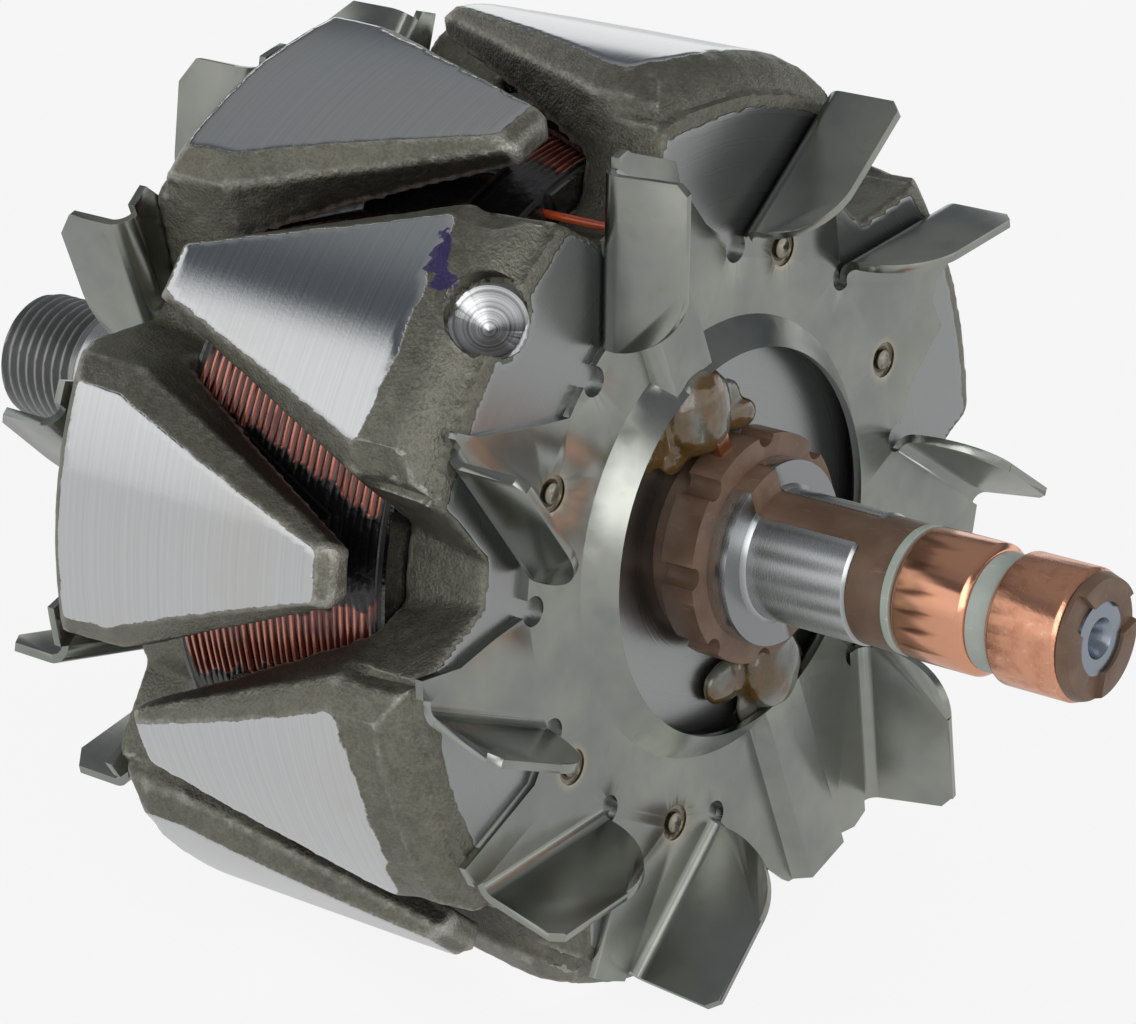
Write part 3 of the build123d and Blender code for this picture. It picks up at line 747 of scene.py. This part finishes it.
def sheet_steel(name, welds):
    sheet = Finish(name, Metallic=1.0)
    cloud = sheet.grain(11.0, detail=4.0, rough=0.55)
    streak = sheet.grain(2.2, detail=4.0, shift=0.4)
    fine = sheet.grain(0.12, detail=2.0)
    colour = sheet.tint((0.27, 0.285, 0.27), (0.36, 0.37, 0.33), cloud.rises(0.3, 0.7))
    colour = sheet.tint(colour, (0.27, 0.235, 0.15), streak.rises(0.6, 0.85, 0.0, 0.45))
    stain = sheet.grain(6.0, shift=0.7)
    colour = sheet.tint(colour, (0.2, 0.21, 0.2), stain.rises(0.6, 0.8, 0.0, 0.35))
    rough = cloud * 0.08 + streak * 0.05 + 0.17
    height = fine * 0.05 + streak * 0.04
    if welds:
        apart = sheet.near(welds[0])
        for place in welds[1:]:
            apart = apart.math("MINIMUM", sheet.near(place))
        halo = 1 - apart.rises(2.0, 3.2)
        rim = apart.rises(1.95, 2.1) * halo
        dome = 1 - apart.rises(0.0, 1.1)
        groove = apart.rises(1.0, 1.2) * (1 - apart.rises(1.5, 1.7))
        colour = sheet.tint(colour, (0.24, 0.19, 0.11), halo * 0.55)
        colour = sheet.tint(colour, (0.55, 0.52, 0.44), dome * 0.5 + rim * 0.5)
        colour = sheet.tint(colour, (0.05, 0.045, 0.035), groove * 0.8)
        height = height + dome * 1.6
    return sheet.wear(Base_Color=colour, Roughness=rough, Normal=sheet.relief(height, 0.14))


edge_angle = 38   # an edge that turns by more degrees than this is rounded


def softened(node, width, material, slot_name):
    piece = copied(node)
    smoothed(piece.data, edge_angle)
    applied(piece, "BEVEL", width=width * mm, segments=2, limit_method="ANGLE",
            angle_limit=math.radians(edge_angle), miter_outer="MITER_ARC", harden_normals=True)
    finished(piece, material, slot_name, node)


softened("slip_ring_end_fan", 0.28, sheet_steel("slip_fan_sheet", weld_places), "slip_fan_steel")
softened("drive_end_fan", 0.28, sheet_steel("drive_fan_sheet", []), "drive_fan_steel")

# %% [markdown]
# ## Shaft and thread
# The shaft is ground on its bearing seats, and its drive end carries an M16 thread with a pitch of
# 1.5 mm. The solid stops at the crest cylinder. Here the threaded end is cut off a copy and built
# again as a lathe grid whose radius follows the thread's flanks round the helix.

# %% Shaft steel
thread_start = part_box("shaft")[0].x / mm
thread_stop = thread_start + 13.9
steel = Finish("shaft_steel", Metallic=1.0)
x = steel.axes()[0]
along = x * (1 / mm)
lines = lathe_lines(steel, x, 0.14)
fine = steel.grain(0.5, detail=3.0)
threaded = 1 - along.rises(thread_stop - 0.4, thread_stop + 0.2)
tip_face = along.rises(76.0, 76.4)
colour = steel.tint((0.50, 0.51, 0.52), (0.72, 0.73, 0.74), lines)
colour = steel.tint(colour, (0.30, 0.30, 0.29), threaded * 0.85)
colour = steel.tint(colour, (0.26, 0.30, 0.36), tip_face * 0.8)
# painted shade: faces turned towards +x, such as the shoulders, are darkened
shoulder_shade = steel.facing()[0].rises(0.5, 0.8) * (1 - tip_face)
colour = steel.tint(colour, (0.26, 0.27, 0.27), shoulder_shade * 0.85)
steel.wear(
    Base_Color=colour,
    Roughness=lines * 0.14 + 0.2 + threaded * 0.12,
    Normal=steel.relief(lines * 0.12 + fine * threaded * 0.5, 0.05))


def threaded_end(start, end):
    crest, pitch, depth, chamfer = 8.0, 1.5, 0.9, 1.2
    crest_flat, flank = 0.12, 0.72   # as parts of half a pitch
    fade = 1.2                       # where the thread runs out
    drill_radius, drill_depth = 2.3, 5.0
    per_turn = 14
    around = 96
    rows = int((end - start) / pitch * per_turn)
    work = bmesh.new()
    columns = []
    for n in range(around):
        turn = n / around
        column = [work.verts.new(spot(start + drill_depth, 0.4, 360 * turn)),
                  work.verts.new(spot(start, drill_radius, 360 * turn))]
        for row in range(rows + 1):
            x = start + (end - start) * row / rows
            phase = abs(((x - start) / pitch + turn) % 1.0 - 0.5) * 2
            groove = min(1.0, max(0.0, (phase - crest_flat) / flank))
            runout = min(1.0, (end - x) / fade)
            bevel = max(0.0, chamfer - (x - start))
            radius = min(crest - depth * groove * runout, crest - bevel)
            column.append(work.verts.new(spot(x, radius, 360 * turn)))
        columns.append(column)
    for n in range(around):
        first, second = columns[n], columns[(n + 1) % around]
        for row in range(len(first) - 1):
            work.faces.new((first[row], first[row + 1], second[row + 1], second[row]))
    work.faces.new([column[0] for column in columns])
    bmesh.ops.recalc_face_normals(work, faces=work.faces)
    return work


shaft = copied("shaft")
work = bmesh.new()
work.from_mesh(shaft.data)
everything = work.verts[:] + work.edges[:] + work.faces[:]
bmesh.ops.bisect_plane(
    work, geom=everything, plane_co=(thread_stop * mm, 0, 0), plane_no=(1, 0, 0), clear_inner=True)
work.to_mesh(shaft.data)
work.free()
applied(shaft, "BEVEL", width=0.18 * mm, segments=2, limit_method="ANGLE",
        angle_limit=math.radians(edge_angle))
thread = threaded_end(thread_start, thread_stop)
thread.from_mesh(shaft.data)
thread.to_mesh(shaft.data)
thread.free()
finished(shaft, steel.material, "shaft_steel", "shaft", sharp=edge_angle)

# %% [markdown]
# ## Slip-ring moulding
# Brown thermosetting plastic carries the rings and the two copper bars. It is matte with a slight
# mould skin, scuffed pale along its edges, and it looks right as soon as its edges are rounded.

# %% Brown plastic and pale rings
def moulded(name, dark, pale, gloss):
    plastic = Finish(name, Specular_IOR_Level=0.45)
    cloud = plastic.grain(4.0, detail=4.0)
    fine = plastic.grain(0.25, detail=2.0)
    x, y, z = plastic.axes()
    scuffs = plastic.grain(0.5, detail=3.0, at=plastic.at(x=x * 0.25, y=y, z=z))
    scuffed = tuple(min(1.0, v * 1.7) for v in pale)
    colour = plastic.tint(dark, pale, cloud.rises(0.3, 0.75))
    colour = plastic.tint(colour, scuffed, scuffs.rises(0.62, 0.78, 0.0, 0.45))
    return plastic.wear(
        Base_Color=colour, Roughness=cloud * 0.2 + gloss,
        Normal=plastic.relief(fine * 0.6 + cloud * 0.4, 0.04))


brown = moulded("brown_plastic", (0.155, 0.092, 0.058), (0.225, 0.142, 0.096), 0.3)
pale = moulded("pale_plastic", (0.50, 0.56, 0.50), (0.60, 0.66, 0.60), 0.4)
softened("slip_ring_moulding", 0.16, brown, "brown_plastic")
softened("middle_insulating_ring", 0.12, pale, "pale_plastic")
softened("inner_insulating_ring", 0.1, pale, "pale_plastic")

# %% [markdown]
# ## Slip rings
# The inner ring is freshly turned and mirror-like in bands. The outer one has run against its brush:
# its surface is blotched, with darker oxide and short scratches. One recipe with a wear value makes
# both. Copper needs a warm base colour and full metallic, and the lathe lines go into the
# roughness more than into the bump.

# %% Copper rings and bars
def ring_copper(name, wear):
    metal = Finish(name, Metallic=1.0)
    x, y, z = metal.axes()
    lines = lathe_lines(metal, x, 0.12)
    blotch = metal.grain(1.6, detail=4.0, rough=0.6)
    scratch = metal.grain(0.4, detail=3.0, at=metal.at(x=x * 0.4 + y * 0.5, y=y, z=z * 0.5))
    colour = metal.tint((0.74, 0.33, 0.20), (0.88, 0.47, 0.31), lines)
    colour = metal.tint(colour, (0.55, 0.21, 0.12), blotch.rises(0.45, 0.75, 0.0, 0.6 * wear))
    colour = metal.tint(colour, (0.95, 0.62, 0.45), scratch.rises(0.6, 0.75, 0.0, wear * 0.6))
    rough = lines * 0.08 + 0.12 + blotch * (0.22 * wear)
    height = lines * 0.06 + scratch * (0.6 * wear * wear)
    return metal.wear(Base_Color=colour, Roughness=rough, Normal=metal.relief(height, 0.05))


softened("inner_slip_ring", 0.15, ring_copper("inner_ring_copper", 0.12), "inner_ring_copper")
softened("outer_slip_ring", 0.15, ring_copper("outer_ring_copper", 0.9), "outer_ring_copper")
recoated(ring_copper("bar_copper", 0.6), "conductor_bar_outer", "conductor_bar_inner")

# %% [markdown]
# ## Leads, bobbin and core
# The two ends of the coil run along a valley between claws and under the fan's channels, in
# orange-red enamel. The bobbin and the steel core between the poles are hardly seen, so a plain
# finish with a little variation is enough for each.

# %% Enamelled leads, bobbin and core
enamel = Finish("lead_enamel", Coat_Weight=1.0, Coat_Roughness=0.08)
run = enamel.grain(2.5, detail=3.0)
enamel.wear(
    Base_Color=enamel.tint((0.75, 0.13, 0.035), (0.55, 0.07, 0.02), run),
    Roughness=run * 0.2 + 0.25, Normal=enamel.relief(enamel.grain(0.6), 0.03))
bobbin = Finish("bobbin_plastic")
tone = bobbin.grain(3.0, detail=3.0)
bobbin.wear(
    Base_Color=bobbin.tint((0.02, 0.02, 0.02), (0.04, 0.038, 0.034), tone),
    Roughness=tone * 0.25 + 0.35, Normal=bobbin.relief(bobbin.grain(0.4), 0.05))
core = Finish("core_steel", Metallic=1.0)
tone = core.grain(1.2, detail=4.0)
core.wear(
    Base_Color=core.tint((0.16, 0.16, 0.14), (0.34, 0.34, 0.30), tone),
    Roughness=tone * 0.3 + 0.35, Normal=core.relief(tone, 0.1))
recoated(enamel.material, "winding_lead_upper", "winding_lead_lower")
recoated(bobbin.material, "winding_bobbin")
recoated(core.material, "pole_core")

# %% [markdown]
# ## Resin over the joints
# Yellow-brown resin holds the leads to the copper bars. It is dripped over each joint while it is
# thin, and it sets in overlapping tongues. We join flattened balls to the solid, remesh them into
# one skin and smooth it, as surface tension would. The finish is glossy and partly clear, with a
# greyish film in places.

# %% Resin blobs
resin = Finish(
    "cured_resin", Coat_Weight=1.0, Coat_Roughness=0.04, Transmission_Weight=0.35, IOR=1.5)
cloud = resin.grain(5.5, detail=2.0)
streak = resin.grain(1.5, detail=3.0, shift=0.5)
amber = resin.tint((0.10, 0.05, 0.010), (0.26, 0.15, 0.042), streak)
putty = resin.tint((0.15, 0.16, 0.13), (0.27, 0.28, 0.23), streak)
resin.wear(
    Base_Color=resin.tint(amber, putty, cloud.rises(0.44, 0.58)),
    Roughness=streak * 0.15 + 0.08,
    Normal=resin.relief(streak, 0.25))


def set_resin(node, seed, flows):
    """Each flow: place along the shaft, radius, angle, then its half sizes along, round and out."""
    piece = copied(node)
    work = bmesh.new()
    work.from_mesh(piece.data)
    for x, radius, angle, thick, wide, tall in flows:
        size = Matrix.Diagonal((thick * mm, wide * mm, tall * mm, 1))
        swing = Matrix.Rotation(-math.radians(angle), 4, "X")
        where = Matrix.Translation(spot(x, radius, angle)) @ swing @ size
        bmesh.ops.create_uvsphere(work, u_segments=24, v_segments=16, radius=1.0, matrix=where)
    work.to_mesh(piece.data)
    work.free()
    applied(piece, "REMESH", mode="VOXEL", voxel_size=0.28 * mm)
    applied(piece, "SMOOTH", factor=0.6, iterations=25)
    mesh = piece.data
    points = points_of(mesh)
    push = (0.25 * lumps(points, 3.5, seed) + 0.06 * lumps(points, 1.3, seed + 4)) * mm
    points = points + normals_of(mesh) * push[:, None]
    proud = np.maximum(points[:, 0] - (slip_face + sheet_thickness) * mm, 0)
    points[:, 0] -= 0.12 * proud   # a little flatter in front of the fan plate
    move_points(mesh, points)
    finished(piece, resin.material, "resin", node)


set_resin("lead_resin_upper", 2.0, (
    (29.9, 18.0, -22, 1.7, 5.6, 4.6), (29.6, 21.5, -26, 1.3, 4.6, 3.6),
    (29.6, 19.5, -40, 1.1, 4.6, 3.4), (30.2, 17.0, -8, 1.5, 4.0, 2.4),
    (31.0, 14.6, 2, 1.3, 3.4, 1.9), (29.8, 24.5, -22, 1.1, 3.0, 3.2),
    (29.8, 15.5, -34, 1.5, 3.6, 2.4), (32.2, 15.6, lead_angle, 2.1, 2.9, 2.4),
))
set_resin("lead_resin_lower", 9.0, (
    (30.0, 17.5, 158, 1.7, 5.2, 4.4), (29.8, 22.0, 163, 1.2, 4.2, 3.4),
    (29.6, 17.5, 178, 1.2, 4.0, 2.8), (29.8, 22.5, 149, 1.1, 3.6, 2.8),
    (32.2, 15.6, lead_angle + 180, 2.1, 2.9, 2.4),
))

# %% [markdown]
# ## A strip of insulation in the gap
# A narrow pale strip lies on the coil in one gap between two claws, held by the varnish. It is a
# flat bar between two places, and rounding its edges is all the shaping it needs.

# %% Pale strip
def flat_bar(name, start, end, outward, wide, thick, material):
    along = (end - start).normalized()
    across = along.cross(outward).normalized()
    turn = Matrix((along, across, along.cross(across))).transposed().to_4x4()
    size = Matrix.Diagonal(((end - start).length, wide * mm, thick * mm, 1))
    work = bmesh.new()
    middle = Matrix.Translation((start + end) / 2)
    bmesh.ops.create_cube(work, size=1.0, matrix=middle @ turn @ size)
    made = built(work, name)
    applied(made, "BEVEL", width=thick * 0.3 * mm, segments=2)
    finished(made, material, "star_insulation", sharp=40)


strip = Finish("pale_strip")
tone = strip.grain(1.4, detail=3.0)
strip.wear(
    Base_Color=strip.tint((0.20, 0.215, 0.22), (0.44, 0.46, 0.46), tone.rises(0.3, 0.6)),
    Roughness=tone * 0.3 + 0.25, Normal=strip.relief(tone, 0.1))
flat_bar(
    "insulation_strip", spot(-11.7, 44.6, -37.6), spot(-2.7, 44.6, -31.6), spot(0, 1, -32),
    1.1, 0.5, strip.material)

# %% [markdown] ## Finish the scene The dressed rotor may not outgrow its solids, so both boxes are
# written side by side.

# %% Sizes of the solids and the dressed rotor
dressed = [list(corner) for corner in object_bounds()]
for label, corners in (("solids", cad_box), ("dressed", dressed)):
    print(label, [[round(v / mm, 2) for v in corner] for corner in corners])
